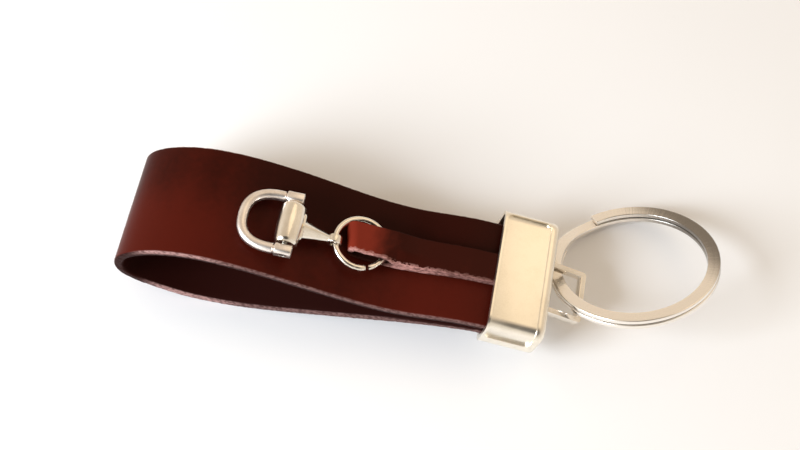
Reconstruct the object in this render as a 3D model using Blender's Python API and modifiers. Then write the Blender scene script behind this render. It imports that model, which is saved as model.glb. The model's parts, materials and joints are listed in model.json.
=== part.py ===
"""Wristlet keychain: a leather strap looped back on itself and gripped by a cast metal end clamp.

The clamp holds a hinged bail with a split ring for keys. A narrow tab sewn under the clamp carries a
small jump ring, and the jump ring carries a miniature horse bit that lies on the strap.

Lengths are in metres. +X runs from the loop to the key ring, +Y is the far side, +Z is up.
Shapes are laid out from the middle of the clamp's mouth, and the whole is then moved so that the
origin is the middle of the bounding box's underside.
"""

import math

import bmesh
import bpy
import numpy as np
from mathutils import Matrix, Vector

MM = 0.001
GAP = 0.3 * MM  # between pieces that touch

# Where the clamp's mouth lies from the origin, under the middle of the assembled object.
MOUTH_PLACE = Vector((14.46 * MM, -6.03 * MM, 0))

# The strap, and its outer face from the clamp, over the loop and back, in the XZ plane.
STRAP_WIDTH = 25 * MM
STRAP_THICK = 1.9 * MM
STRAP_OUTER_FACE = (
    (8.5, 10.5), (1.2, 12.07), (-6, 12.6), (-16, 12.1), (-30.4, 15.2), (-47.2, 20.6), (-60.8, 22.3),
    (-69.7, 19.9), (-75.3, 14.9), (-75.9, 8.5), (-70.2, 3.7), (-62, 0.7), (-54, 0.0), (-45, 0.8),
    (-32.7, 3.1), (-16.1, 6.5), (-6, 8.0), (0.3, 8.06), (7.6, 6.5),
)

# The clamp, pitched down towards the key ring, with its lower edge there CLAMP_LIFT above the ground.
CLAMP_LENGTH = 12 * MM
CLAMP_WIDTH = 27.4 * MM
CLAMP_HEIGHT = 9.2 * MM
CLAMP_WALL = 1.3 * MM
CLAMP_SIDE_WALL = 0.9 * MM
CLAMP_ROUND = 1.6 * MM
CLAMP_LIFT = 4.0 * MM
CLAMP_PITCH = math.radians(12)

# The recessed panel on the clamp's top, which runs over the near shoulder, and the two hidden screws.
PANEL_DEPTH = 0.6 * MM
PANEL_LENGTH = 9.4 * MM
PANEL_X = 5.7 * MM
PANEL_RIM = 1.2 * MM
PANEL_BOTTOM = 4.1 * MM
SCREW_SPACING = 16 * MM
SCREW_X = 4 * MM
SCREW_SHANK = 1.0 * MM
SCREW_HEAD = 1.9 * MM
SCREW_HEAD_HEIGHT = 0.6 * MM
SCREW_SEAT = 0.8 * MM
SCREW_SLOT = 0.5 * MM

# The bail, a rectangular link that turns in a slot in the clamp's end wall.
BAIL_WIDTH = 11.4 * MM
BAIL_REACH = 7.8 * MM
BAIL_BAR = 1.2 * MM
BAIL_HEIGHT = 1.7 * MM
BAIL_SIDE = -0.5 * MM
BAIL_LEVEL = 6.4 * MM
BAIL_DROOP = math.radians(11)
BAIL_SLOT = 2.9 * MM
BAIL_SLOT_DROP = 0.25 * MM
BAIL_EAR = 1.6 * MM

# The split ring for keys.
RING_OUTER = 17.7 * MM
RING_INNER = 15.0 * MM
RING_COIL = 1.1 * MM
RING_COIL_GAP = 0.15 * MM
RING_CENTRE_X = 29.9 * MM
RING_CENTRE_Y = 8.7 * MM
RING_NORMAL = Vector((-0.25, 0.37, 1)).normalized()
RING_JOG_START = math.radians(126)
RING_JOG = math.radians(38)

# The tab on top of the strap, folded round the jump ring.
TAB_WIDTH = 6.7 * MM
TAB_SIDE = 0.0 * MM
TAB_FOLD_X = -29.3 * MM
TAB_END_X = 8 * MM
TAB_LAYER = 1.0 * MM
TAB_FOLD_ROUND = 1.5 * MM
TAB_EYE = (-28.2 * MM, -18.0 * MM)
TAB_HEIGHTS = ((-29.3, 4.0), (-20, 4.0), (-15, 2.9), (-8, 2.0), (0, 1.6), (9, 1.6))

# The jump ring and the bit that hangs on it.
JUMP_SIDE = -0.8 * MM
JUMP_WIRE = 0.66 * MM
JUMP_HALF_X = 5.4 * MM
JUMP_HALF_Y = 5.4 * MM
JUMP_X = -27.0 * MM
JUMP_LEVEL = 2.3 * MM
JUMP_GAP_AT = math.radians(-66)
JUMP_GAP = math.radians(9)

BIT_SIDE = -1.8 * MM
PIN_X = -41.6 * MM
PIN_LEVEL = 3.1 * MM
PIN_RADIUS = 0.6 * MM
PIN_PLAY = 0.08 * MM
BARREL_RADIUS = 2.5 * MM
BARREL_LENGTH = 9.0 * MM
COLLAR = Vector((1.2, 7.4, 4.0)) * MM
COLLAR_X = 2.2 * MM
CANNON_RADII = (1.35 * MM, 0.75 * MM)
EYE_RADIUS = 1.55 * MM
EYE_WIDTH = 1.7 * MM
EYE_HOLE = 0.92 * MM
EYE_SHIFT = 0.12 * MM

# The D-ring of the bit, whose arms end in blocks on the pin.
D_BAR = 1.05 * MM
D_HALF_WIDTH = 5.95 * MM
D_STRAIGHT = 2.6 * MM
D_BOW = 6.9 * MM
D_FOOT = 1.5 * MM
KNUCKLE = Vector((3.6, 2.3, 2.6)) * MM


# --- helpers -------------------------------------------------------------------------------------

for old in list(bpy.data.objects):
    bpy.data.objects.remove(old, do_unlink=True)

scene = bpy.context.scene
parts = bpy.data.collections.new("wristlet_keychain")
cutters = bpy.data.collections.new("cutters")
scene.collection.children.link(parts)
scene.collection.children.link(cutters)
cutters.hide_render = True


def place(obj, parent, location=(0, 0, 0), rotation=(0, 0, 0)):
    obj.parent = parent
    obj.location = location
    obj.rotation_euler = rotation
    return obj


def frame(name, parent=None, location=(0, 0, 0), rotation=(0, 0, 0)):
    """An empty that a group of pieces is placed on."""
    empty = bpy.data.objects.new(name, None)
    parts.objects.link(empty)
    return place(empty, parent, location, rotation)


def material(name, colour, roughness, metallic):
    made = bpy.data.materials.new(name)
    made.use_nodes = True
    shader = made.node_tree.nodes["Principled BSDF"]
    shader.inputs["Base Color"].default_value = (*colour, 1)
    shader.inputs["Roughness"].default_value = roughness
    shader.inputs["Metallic"].default_value = metallic
    return made


def mesh_object(name, build):
    """A new object in parts, whose mesh the function build fills through a bmesh."""
    mesh = bpy.data.meshes.new(name)
    form = bmesh.new()
    build(form)
    bmesh.ops.recalc_face_normals(form, faces=form.faces)
    form.to_mesh(mesh)
    form.free()
    obj = bpy.data.objects.new(name, mesh)
    parts.objects.link(obj)
    return obj


def box(name, size, centre=(0, 0, 0)):
    def build(form):
        bmesh.ops.create_cube(form, size=1, matrix=Matrix.Translation(centre) @ Matrix.Diagonal((*size, 1)))
    return mesh_object(name, build)


def rod(name, radius, length, centre=(0, 0, 0), axis="Y", end_radius=None, segments=20):
    """A cylinder or cone along an axis; end_radius is its radius at the axis's positive end."""
    turn = {
        "X": Matrix.Rotation(math.pi / 2, 4, "Y"),
        "Y": Matrix.Rotation(-math.pi / 2, 4, "X"),
        "Z": Matrix.Identity(4),
    }[axis]
    end = radius if end_radius is None else end_radius

    def build(form):
        bmesh.ops.create_cone(
            form, cap_ends=True, segments=segments, radius1=radius, radius2=end, depth=length,
            matrix=Matrix.Translation(centre) @ turn,
        )
    return mesh_object(name, build)


def bevel(obj, width, segments=2, angle=40):
    rounding = obj.modifiers.new("rounding", "BEVEL")
    rounding.width = width
    rounding.segments = segments
    rounding.limit_method = "ANGLE"
    rounding.angle_limit = math.radians(angle)
    return obj


def boolean(obj, other, operation):
    """Joins or cuts with another object, which becomes a hidden cutter at the same place."""
    other.parent = obj
    for collection in list(other.users_collection):
        collection.objects.unlink(other)
    cutters.objects.link(other)
    other.hide_render = True
    other.display_type = "WIRE"
    work = obj.modifiers.new(f"{operation.lower()} {other.name}", "BOOLEAN")
    work.operation = operation
    work.object = other
    return obj


def cut(obj, other):
    return boolean(obj, other, "DIFFERENCE")


def join(obj, other):
    return boolean(obj, other, "UNION")


def curve_object(name, splines, cyclic, dimensions="3D"):
    """A curve of straight-sided splines through lists of points."""
    curve = bpy.data.curves.new(name, "CURVE")
    curve.dimensions = dimensions
    for points in splines:
        spline = curve.splines.new("POLY")
        spline.points.add(len(points) - 1)
        for slot, point in zip(spline.points, points):
            slot.co = (*point, 1)
        spline.use_cyclic_u = cyclic
    obj = bpy.data.objects.new(name, curve)
    parts.objects.link(obj)
    return obj


def as_mesh(obj):
    """The object with its curve and modifiers made into one welded mesh."""
    graph = bpy.context.evaluated_depsgraph_get()
    graph.update()
    mesh = bpy.data.meshes.new_from_object(obj.evaluated_get(graph))
    form = bmesh.new()
    form.from_mesh(mesh)
    bmesh.ops.remove_doubles(form, verts=form.verts, dist=1e-7)
    bmesh.ops.recalc_face_normals(form, faces=form.faces)
    form.to_mesh(mesh)
    form.free()
    name = obj.name
    made = bpy.data.objects.new("made", mesh)
    parts.objects.link(made)
    made.matrix_world = obj.matrix_world
    bpy.data.objects.remove(obj)
    made.name = name
    return made


def finish(obj, slot, smooth=35):
    """Gives a piece its material and smooth shading."""
    obj.data.materials.clear()
    obj.data.materials.append(slot)
    if obj.type == "MESH":
        obj.data.shade_smooth()
        obj.data.set_sharp_from_angle(angle=math.radians(smooth))
    return obj


def smooth_path(knots, count):
    """Points on the natural cubic spline through the knots, spaced evenly by chord length."""
    knots = np.array(knots, float)
    at = np.concatenate([[0], np.cumsum(np.linalg.norm(np.diff(knots, axis=0), axis=1))])
    step = np.diff(at)
    size = len(at)
    system = np.eye(size)
    right = np.zeros_like(knots)
    for i in range(1, size - 1):
        system[i, i - 1: i + 2] = step[i - 1], 2 * (step[i - 1] + step[i]), step[i]
        rise = (knots[i + 1] - knots[i]) / step[i] - (knots[i] - knots[i - 1]) / step[i - 1]
        right[i] = 6 * rise
    bend = np.linalg.solve(system, right)
    places = []
    for t in np.linspace(0, at[-1], count):
        i = min(np.searchsorted(at, t, side="right") - 1, size - 2)
        a, b = at[i + 1] - t, t - at[i]
        h = step[i]
        places.append(
            (bend[i] * a**3 + bend[i + 1] * b**3) / (6 * h)
            + (knots[i] / h - bend[i] * h / 6) * a
            + (knots[i + 1] / h - bend[i + 1] * h / 6) * b
        )
    return np.array(places)


leather = material("oxblood_leather", (0.075, 0.008, 0.006), 0.35, 0)
tab_leather = material("tab_leather", (0.12, 0.012, 0.009), 0.4, 0)
nickel = material("satin_nickel", (0.62, 0.57, 0.5), 0.28, 1)
bright_nickel = material("bright_nickel", (0.68, 0.64, 0.6), 0.18, 1)
steel = material("steel_screw", (0.45, 0.44, 0.42), 0.4, 1)

rig = frame("wristlet", location=MOUTH_PLACE)

# The clamp's frame: X runs from its mouth to its end wall and Z up from its underside.
clamp_base = Vector((0, 0, CLAMP_LIFT + CLAMP_LENGTH * math.sin(CLAMP_PITCH)))
clamp_frame = frame("clamp_frame", rig, clamp_base, (0, CLAMP_PITCH, 0))


# --- strap ---------------------------------------------------------------------------------------

outer_face = smooth_path(STRAP_OUTER_FACE, 110) * MM
upper_face = outer_face[: int(np.argmin(outer_face[:, 0])) + 1]


def on_strap(x):
    """The height of the strap's upper face at x, and how steeply it falls towards the clamp."""
    rising = upper_face[::-1]
    height = float(np.interp(x, rising[:, 0], rising[:, 1]))
    step = 1.5 * MM
    ahead, behind = (float(np.interp(x + d, rising[:, 0], rising[:, 1])) for d in (step, -step))
    return height, math.atan2(behind - ahead, 2 * step)


def above_strap(x, level):
    """The point at a level over the strap's upper face, measured square to it."""
    height, fall = on_strap(x)
    return Vector((x + level * math.sin(fall), height + level * math.cos(fall)))


def screw_places():
    return [Vector((SCREW_X, side * SCREW_SPACING / 2, 0)) for side in (-1, 1)]


def make_strap():
    ribbon = curve_object("main_strap", [[(x, z, 0) for x, z in outer_face]], False, "2D")
    ribbon.data.fill_mode = "NONE"
    ribbon.data.extrude = STRAP_WIDTH / 2
    wall = ribbon.modifiers.new("leather", "SOLIDIFY")
    wall.thickness = STRAP_THICK
    wall.offset = 1
    strap = as_mesh(ribbon)
    place(strap, rig, rotation=(math.pi / 2, 0, 0))
    for number, spot in enumerate(screw_places(), 1):
        hole = rod(f"strap_hole_{number}", SCREW_SHANK + GAP, 3 * CLAMP_HEIGHT, axis="Z", segments=16)
        cut(strap, hole)
        place(hole, clamp_frame, spot)
    return finish(strap, leather)


make_strap()


# --- clamp and its screws ------------------------------------------------------------------------

def make_clamp():
    """A hollow cap, open at its mouth, with a recessed panel and a slot for the bail in its end wall."""
    middle = Vector((CLAMP_LENGTH / 2, 0, CLAMP_HEIGHT / 2))
    shell = box("clamp_cap", (CLAMP_LENGTH, CLAMP_WIDTH, CLAMP_HEIGHT), middle)
    shell = as_mesh(bevel(shell, CLAMP_ROUND, 3, 60))
    hollow = Vector((CLAMP_LENGTH, CLAMP_WIDTH - 2 * CLAMP_SIDE_WALL, CLAMP_HEIGHT - 2 * CLAMP_WALL))
    cut(shell, box("clamp_hollow", hollow, middle - Vector((CLAMP_WALL, 0, 0))))
    slot_size = (4 * CLAMP_WALL, BAIL_WIDTH + 2 * GAP, BAIL_SLOT)
    slot_place = (CLAMP_LENGTH, BAIL_SIDE, BAIL_LEVEL - BAIL_SLOT_DROP)
    cut(shell, box("bail_slot", slot_size, slot_place))
    panel_width = CLAMP_WIDTH - PANEL_RIM
    panel = box("panel_recess", (PANEL_LENGTH, panel_width, 2 * PANEL_DEPTH),
                (PANEL_X, -(CLAMP_WIDTH - panel_width), CLAMP_HEIGHT))
    cut(shell, bevel(panel, 0.9 * PANEL_DEPTH, 1))
    side_height = 2 * (CLAMP_HEIGHT - PANEL_BOTTOM)
    cut(shell, box("panel_side", (PANEL_LENGTH, 2 * PANEL_DEPTH, side_height),
                   (PANEL_X, -CLAMP_WIDTH / 2, CLAMP_HEIGHT)))
    for number, spot in enumerate(screw_places(), 1):
        seat = rod(f"screw_seat_{number}", SCREW_HEAD + GAP, 2 * SCREW_SEAT, axis="Z", segments=20)
        way = rod(f"screw_way_{number}", SCREW_SHANK + GAP, 4 * CLAMP_WALL, axis="Z", segments=16)
        for cutter in (seat, way):
            cut(shell, cutter)
            place(cutter, shell, spot)
    place(shell, clamp_frame)
    return finish(shell, nickel)


def make_screw(number, spot):
    """A slotted screw, head down in the clamp's underside, through both legs of the strap."""
    under = SCREW_SEAT - SCREW_HEAD_HEIGHT / 2 - GAP / 6
    head = rod(f"clamp_screw_{number}", SCREW_HEAD, SCREW_HEAD_HEIGHT, (0, 0, under), "Z")
    top = CLAMP_HEIGHT - CLAMP_WALL - GAP
    middle = (0, 0, (top + under) / 2)
    shank = rod(f"screw_shank_{number}", SCREW_SHANK, top - under, middle, "Z", segments=16)
    join(head, shank)
    cut(head, box(f"screw_slot_{number}", (3 * SCREW_HEAD, SCREW_SLOT, SCREW_SLOT),
                  (0, 0, under - SCREW_HEAD_HEIGHT / 2)))
    place(head, clamp_frame, spot)
    return finish(head, steel)


make_clamp()
for count, place_of_screw in enumerate(screw_places(), 1):
    make_screw(count, place_of_screw)


# --- bail ----------------------------------------------------------------------------------------

BAIL_AXIS = Vector((CLAMP_LENGTH - CLAMP_WALL - GAP - BAIL_BAR / 2, BAIL_SIDE, BAIL_LEVEL))
bail_frame = frame("bail_frame", clamp_frame, BAIL_AXIS, (0, BAIL_DROOP, 0))


def make_bail():
    """A rectangular link with ears on its inner bar, about that bar's middle."""
    length = CLAMP_LENGTH + BAIL_REACH - BAIL_AXIS.x + BAIL_BAR / 2
    middle = (length / 2 - BAIL_BAR / 2, 0, 0)
    link = box("bail", (length, BAIL_WIDTH, BAIL_HEIGHT), middle)
    link = as_mesh(bevel(link, 0.3 * MM, 2, 60))
    opening = (length - 2 * BAIL_BAR, BAIL_WIDTH - 2 * BAIL_BAR, 2 * BAIL_HEIGHT)
    cut(link, box("bail_opening", opening, middle))
    join(link, rod("bail_ears", BAIL_BAR / 2, BAIL_WIDTH + 2 * BAIL_EAR, segments=12))
    place(link, bail_frame)
    return finish(link, bright_nickel)


make_bail()


# --- key ring ------------------------------------------------------------------------------------

def ring_point(turn):
    """A point on the middle of the ring's wire, which winds clockwise from its upper end."""
    angle = RING_JOG_START - turn
    level = (RING_COIL + RING_COIL_GAP) / 2
    full = 2 * math.pi
    done = min(max((turn - (full - RING_JOG)) / RING_JOG, 0), 1)
    ease = done * done * (3 - 2 * done)
    radius = (RING_OUTER + RING_INNER) / 2
    return radius * math.cos(angle), radius * math.sin(angle), level * (1 - 2 * ease)


def make_key_ring():
    turns = 4 * math.pi - RING_JOG
    path = [ring_point(turn) for turn in np.linspace(0, turns, 136)]
    wire = curve_object("key_ring", [path], False)
    half_width, half_coil = (RING_OUTER - RING_INNER) / 2, RING_COIL / 2
    corners = [(-half_width, -half_coil, 0), (half_width, -half_coil, 0),
               (half_width, half_coil, 0), (-half_width, half_coil, 0)]
    section = curve_object("ring_section", [corners], True, "2D")
    wire.data.twist_mode = "Z_UP"
    wire.data.bevel_mode = "OBJECT"
    wire.data.bevel_object = section
    wire.data.use_fill_caps = True
    ring = as_mesh(wire)
    bpy.data.objects.remove(section)
    tilt = Vector((0, 0, 1)).rotation_difference(RING_NORMAL)
    half_coils = RING_COIL + RING_COIL_GAP / 2
    lean = math.acos(RING_NORMAL.z)
    rest = RING_OUTER * math.sin(lean) + half_coils * math.cos(lean)
    place(ring, rig, (RING_CENTRE_X, RING_CENTRE_Y, rest), tilt.to_euler())
    return finish(ring, nickel)


make_key_ring()


# --- tab -----------------------------------------------------------------------------------------

def tab_height(x):
    table = np.array(TAB_HEIGHTS) * MM
    return float(np.interp(x, table[:, 0], table[:, 1]))


def make_tab():
    """The folded tab as one profile, with the channel that the jump ring passes through."""
    along = np.linspace(TAB_END_X, TAB_FOLD_X + TAB_FOLD_ROUND, 26)
    under = [above_strap(x, GAP) for x in along]
    over = [above_strap(x, GAP + tab_height(x)) for x in along[::-1]]
    height, fall = on_strap(TAB_FOLD_X)
    radius = tab_height(TAB_FOLD_X) / 2
    middle = (under[-1] + over[0]) / 2
    fold = []
    for angle in np.linspace(-math.pi / 2, -3 * math.pi / 2, 9)[1:-1]:
        out = Vector((TAB_FOLD_ROUND * math.cos(angle), radius * math.sin(angle)))
        fold.append(middle + Vector((out.x * math.cos(fall) + out.y * math.sin(fall),
                                     out.y * math.cos(fall) - out.x * math.sin(fall))))
    start, end = TAB_EYE
    eye_along = np.linspace(start + TAB_FOLD_ROUND / 2, end, 8)
    eye_under = [above_strap(x, GAP + TAB_LAYER) for x in eye_along[::-1]]
    eye_over = [above_strap(x, GAP + tab_height(x) - TAB_LAYER) for x in eye_along]
    left = above_strap(start, GAP + tab_height(start) / 2)
    outline = [(p.x, p.y, 0) for p in under + fold + over]
    eye = [(p.x, p.y, 0) for p in [*eye_under, left, *eye_over]]
    strip = curve_object("tab_strap", [outline, eye], True, "2D")
    strip.data.fill_mode = "BOTH"
    strip.data.extrude = TAB_WIDTH / 2
    tab = as_mesh(strip)
    place(tab, rig, (0, TAB_SIDE, 0), (math.pi / 2, 0, 0))
    return finish(tab, tab_leather)


make_tab()


# --- jump ring and bit ---------------------------------------------------------------------------

jump_right = above_strap(JUMP_X + JUMP_HALF_X, JUMP_LEVEL)
jump_left = above_strap(JUMP_X - JUMP_HALF_X, JUMP_LEVEL)
jump_slope = math.atan2(jump_left.y - jump_right.y, jump_right.x - jump_left.x)
jump_middle = (jump_left + jump_right) / 2


def make_jump_ring():
    """An oval of round wire with a gap where it was closed."""
    angles = np.linspace(JUMP_GAP_AT + JUMP_GAP, JUMP_GAP_AT - JUMP_GAP + 2 * math.pi, 49)
    path = [(JUMP_HALF_X * math.cos(a), JUMP_HALF_Y * math.sin(a), 0) for a in angles]
    wire = curve_object("jump_ring", [path], False)
    wire.data.bevel_depth = JUMP_WIRE
    wire.data.bevel_resolution = 2
    wire.data.use_fill_caps = True
    ring = as_mesh(wire)
    place(ring, rig, (jump_middle.x, JUMP_SIDE, jump_middle.y), (0, jump_slope, 0))
    return finish(ring, bright_nickel, 60)


make_jump_ring()

# The bit hangs a little nearer than the ring's middle, where the wire has turned in.
jump_inward = (jump_right - jump_left).normalized() * EYE_SHIFT
eye_place = Vector((jump_left.x + jump_inward.x, 0, jump_left.y + jump_inward.y))
pin_spot = above_strap(PIN_X, PIN_LEVEL)
pin_place = Vector((pin_spot.x, 0, pin_spot.y))
bit_run = (eye_place - pin_place).length
bit_slope = math.atan2(pin_place.z - eye_place.z, eye_place.x - pin_place.x)
mouthpiece_frame = frame("mouthpiece_frame", rig, pin_place + Vector((0, BIT_SIDE, 0)), (0, bit_slope, 0))


def make_mouthpiece():
    """A barrel that turns on the bit's pin, with a tapered cannon that ends in an eye."""
    half = BARREL_LENGTH / 2
    profile = [(0.72 * BARREL_RADIUS, -half), (0.9 * BARREL_RADIUS, -0.72 * half), (BARREL_RADIUS, 0),
               (0.9 * BARREL_RADIUS, 0.72 * half), (0.72 * BARREL_RADIUS, half)]
    bore = PIN_RADIUS + PIN_PLAY

    def turned(form):
        rings = []
        for radius, y in [(bore, -half), *profile, (bore, half)]:
            rings.append([
                form.verts.new((radius * math.cos(a), y, radius * math.sin(a)))
                for a in np.linspace(0, 2 * math.pi, 20, endpoint=False)
            ])
        for first, second in zip(rings, rings[1:] + rings[:1]):
            for i in range(20):
                j = (i + 1) % 20
                form.faces.new((first[i], first[j], second[j], second[i]))

    barrel = mesh_object("bit_mouthpiece", turned)
    join(barrel, box("bit_collar", COLLAR, (COLLAR_X, 0, 0)))
    thick, thin = CANNON_RADII
    cannon_from, cannon_to = COLLAR_X - COLLAR.x / 2, bit_run - EYE_HOLE
    cannon_middle = ((cannon_from + cannon_to) / 2, 0, 0)
    join(barrel, rod("bit_cannon", thick, cannon_to - cannon_from, cannon_middle, "X", thin, 14))
    join(barrel, rod("bit_eye", EYE_RADIUS, EYE_WIDTH, (bit_run, 0, 0), segments=18))
    cut(barrel, rod("bit_eye_hole", EYE_HOLE, 2 * EYE_WIDTH, (bit_run, 0, 0), segments=18))
    place(barrel, mouthpiece_frame)
    return finish(barrel, bright_nickel, 50)


make_mouthpiece()

d_far = above_strap(PIN_X - D_STRAIGHT - D_BOW, D_FOOT)
d_slope = math.atan2(d_far.y - pin_place.z, pin_place.x - d_far.x)
d_frame = frame("d_ring_frame", rig, pin_place + Vector((0, BIT_SIDE, 0)), (0, d_slope, 0))


def make_d_ring():
    """A D of round bar, closed by a block at each end that the pin goes through."""
    bow = [
        (-D_STRAIGHT - D_BOW * math.sin(a), D_HALF_WIDTH * math.cos(a), 0)
        for a in np.linspace(0, math.pi, 21)
    ]
    path = [(0, D_HALF_WIDTH, 0), *bow, (0, -D_HALF_WIDTH, 0)]
    wire = curve_object("bit_d_ring", [path], False)
    wire.data.bevel_depth = D_BAR
    wire.data.bevel_resolution = 3
    wire.data.use_fill_caps = True
    ring = as_mesh(wire)
    for side in (-1, 1):
        name = "near" if side < 0 else "far"
        join(ring, bevel(box(f"knuckle_{name}", KNUCKLE, (0, side * D_HALF_WIDTH, 0)), 0.5 * MM, 2))
    cut(ring, rod("pin_hole", PIN_RADIUS + PIN_PLAY, 2 * (D_HALF_WIDTH + KNUCKLE.y), segments=20))
    place(ring, d_frame)
    return finish(ring, bright_nickel, 50)


def make_pin():
    """The pin through the D-ring's blocks and the barrel, a little short of the blocks' outer faces."""
    pin = rod("bit_pin", PIN_RADIUS, 2 * D_HALF_WIDTH + KNUCKLE.y - 2 * PIN_PLAY, segments=20)
    place(pin, d_frame)
    return finish(pin, steel)


make_d_ring()
make_pin()
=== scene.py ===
"""Wristlet keychain: its looks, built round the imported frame.

A leather strap is folded into a wrist loop and gripped by a cast nickel end clamp. A bail in the clamp
holds a flat split ring, and a narrow tab carries a jump ring with a miniature horse bit.
"""

import json
import math

import bmesh
import bpy
import numpy as np
from mathutils import Matrix, Vector, noise


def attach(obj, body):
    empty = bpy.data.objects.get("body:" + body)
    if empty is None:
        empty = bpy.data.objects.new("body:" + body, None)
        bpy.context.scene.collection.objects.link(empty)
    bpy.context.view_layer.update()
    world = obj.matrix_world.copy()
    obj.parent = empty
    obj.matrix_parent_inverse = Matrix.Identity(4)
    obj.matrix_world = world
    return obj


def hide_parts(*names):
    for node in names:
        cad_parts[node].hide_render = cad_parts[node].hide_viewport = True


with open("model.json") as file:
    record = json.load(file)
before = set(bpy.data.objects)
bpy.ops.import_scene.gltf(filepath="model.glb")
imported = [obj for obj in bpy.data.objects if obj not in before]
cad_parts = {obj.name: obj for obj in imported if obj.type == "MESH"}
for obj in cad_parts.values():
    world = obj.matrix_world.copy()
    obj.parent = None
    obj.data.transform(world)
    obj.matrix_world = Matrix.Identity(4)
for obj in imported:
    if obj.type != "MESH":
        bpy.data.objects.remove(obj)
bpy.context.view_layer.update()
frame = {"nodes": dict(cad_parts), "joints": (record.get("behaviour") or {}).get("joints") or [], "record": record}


# --- Table, light and camera ----------------------------------------------------------------------
# A plain pale table. A large soft window stands at the near left, and a warm wall behind on the right
# gives the metal its cream reflections.

MM = 0.001


class Paint:
    """A value in a material. Sums on it add Math nodes, and node() adds any other node."""

    def __init__(self, tree, socket):
        self.tree = tree
        self.socket = socket

    def node(self, kind, settings, inputs, output=0):
        made = self.tree.nodes.new("ShaderNode" + kind)
        for name, value in settings.items():
            setattr(made, name, value)
        for name, value in inputs.items():
            if isinstance(value, Paint):
                self.tree.links.new(value.socket, made.inputs[name])
            else:
                made.inputs[name].default_value = value
        return Paint(self.tree, made.outputs[output])

    def maths(self, operation, *values):
        return self.node("Math", {"operation": operation}, dict(enumerate(values)))

    def __add__(self, other):
        return self.maths("ADD", self, other)

    def __sub__(self, other):
        return self.maths("SUBTRACT", self, other)

    def __rsub__(self, other):
        return self.maths("SUBTRACT", other, self)

    def __mul__(self, other):
        return self.maths("MULTIPLY", self, other)

    __radd__ = __add__
    __rmul__ = __mul__

    def between(self, low, high):
        """0 below low, 1 above high, and smooth between them."""
        return self.node("MapRange", {"interpolation_type": "SMOOTHSTEP"},
                         {"Value": self, "From Min": low, "From Max": high})

    def mottle(self, size, detail=3.0, stretch=(1, 1, 1)):
        """Noise from 0 to 1 on this position, with blotches of about size metres."""
        placed = self.node("Mapping", {}, {"Vector": self, "Scale": stretch})
        return self.node("TexNoise", {}, {"Vector": placed, "Scale": 1 / size, "Detail": detail})

    def colour(self, first, second):
        """Goes from one colour to the other as this value goes from 0 to 1."""
        ends = {6: first if isinstance(first, Paint) else (*first, 1),
                7: second if isinstance(second, Paint) else (*second, 1)}
        return self.node("Mix", {"data_type": "RGBA"}, {0: self, **ends}, 2)

    def parts(self):
        """The three numbers of a position."""
        split = self.node("SeparateXYZ", {}, {"Vector": self}).socket.node
        return [Paint(self.tree, output) for output in split.outputs]

    def bump(self, height, strength, below=None):
        """A Normal, where this value stands height metres proud at 1."""
        inputs = {"Strength": strength, "Distance": height, "Height": self}
        if below:
            inputs["Normal"] = below
        return self.node("Bump", {}, inputs)

    def into(self, shader, name):
        self.tree.links.new(self.socket, shader.inputs[name])


def new_material(name, colour, roughness, metallic=0.0):
    """A material, its shader, and the position on the piece."""
    made = bpy.data.materials.new(name)
    made.use_nodes = True
    tree = made.node_tree
    shader = tree.nodes["Principled BSDF"]
    shader.inputs["Base Color"].default_value = (*colour, 1)
    shader.inputs["Roughness"].default_value = roughness
    shader.inputs["Metallic"].default_value = metallic
    return made, shader, Paint(tree, tree.nodes.new("ShaderNodeTexCoord").outputs["Object"])


TABLE_SIZE = 4.0
TABLE_BELOW = 0.05 * MM  # so that its top doesn't share a plane with what lies on it
bpy.ops.mesh.primitive_plane_add(size=TABLE_SIZE, location=(0, 0, -TABLE_BELOW))
table = bpy.context.object
table.name = "table"
table_paper, shader, place = new_material("table_paper", (0.93, 0.92, 0.92), 0.7)
place.mottle(60 * MM).colour((0.92, 0.91, 0.915), (0.95, 0.94, 0.94)).into(shader, "Base Color")
table.data.materials.append(table_paper)


def soft_light(name, place_from, size, power, colour):
    """A square light that faces the object."""
    data = bpy.data.lights.new(name, "AREA")
    data.size = size
    data.energy = power
    data.color = colour
    lamp = bpy.data.objects.new(name, data)
    bpy.context.scene.collection.objects.link(lamp)
    lamp.location = place_from
    lamp.rotation_euler = (-Vector(place_from)).to_track_quat("-Z", "Y").to_euler()


soft_light("window", (-0.4, -0.3, 0.3), 0.3, 4.6, (0.8, 0.88, 0.96))
soft_light("warm_wall", (0.3, 0.46, 0.78), 0.5, 0.56, (1.0, 0.81, 0.54))

# The room: dim and warm at the back, pale at the front, and dark where the viewer stands over the table.
world = bpy.data.worlds.new("room")
world.use_nodes = True
tree = world.node_tree
ray = Paint(tree, tree.nodes.new("ShaderNodeTexCoord").outputs["Generated"])


def facing(ray, direction):
    """1 along the direction, and 0 square to it."""
    return ray.node("VectorMath", {"operation": "DOT_PRODUCT"},
                    {0: ray, 1: Vector(direction).normalized()}, 1)


walls = facing(ray, (0.25, 1, 0.1)).between(-0.4, 0.9).colour((0.86, 0.79, 0.7), (0.84, 0.71, 0.56))
ceiling = facing(ray, (0.1, 0.1, 1)).between(0.3, 0.9).colour(walls, (0.66, 0.55, 0.43))
viewer = facing(ray, (0.08, -0.5, 0.86)).between(0.8, 0.94)
viewer.colour(ceiling, (0.05, 0.045, 0.04)).into(tree.nodes["Background"], "Color")
bpy.context.scene.world = world
bpy.context.scene.view_settings.view_transform = "Standard"

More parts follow.
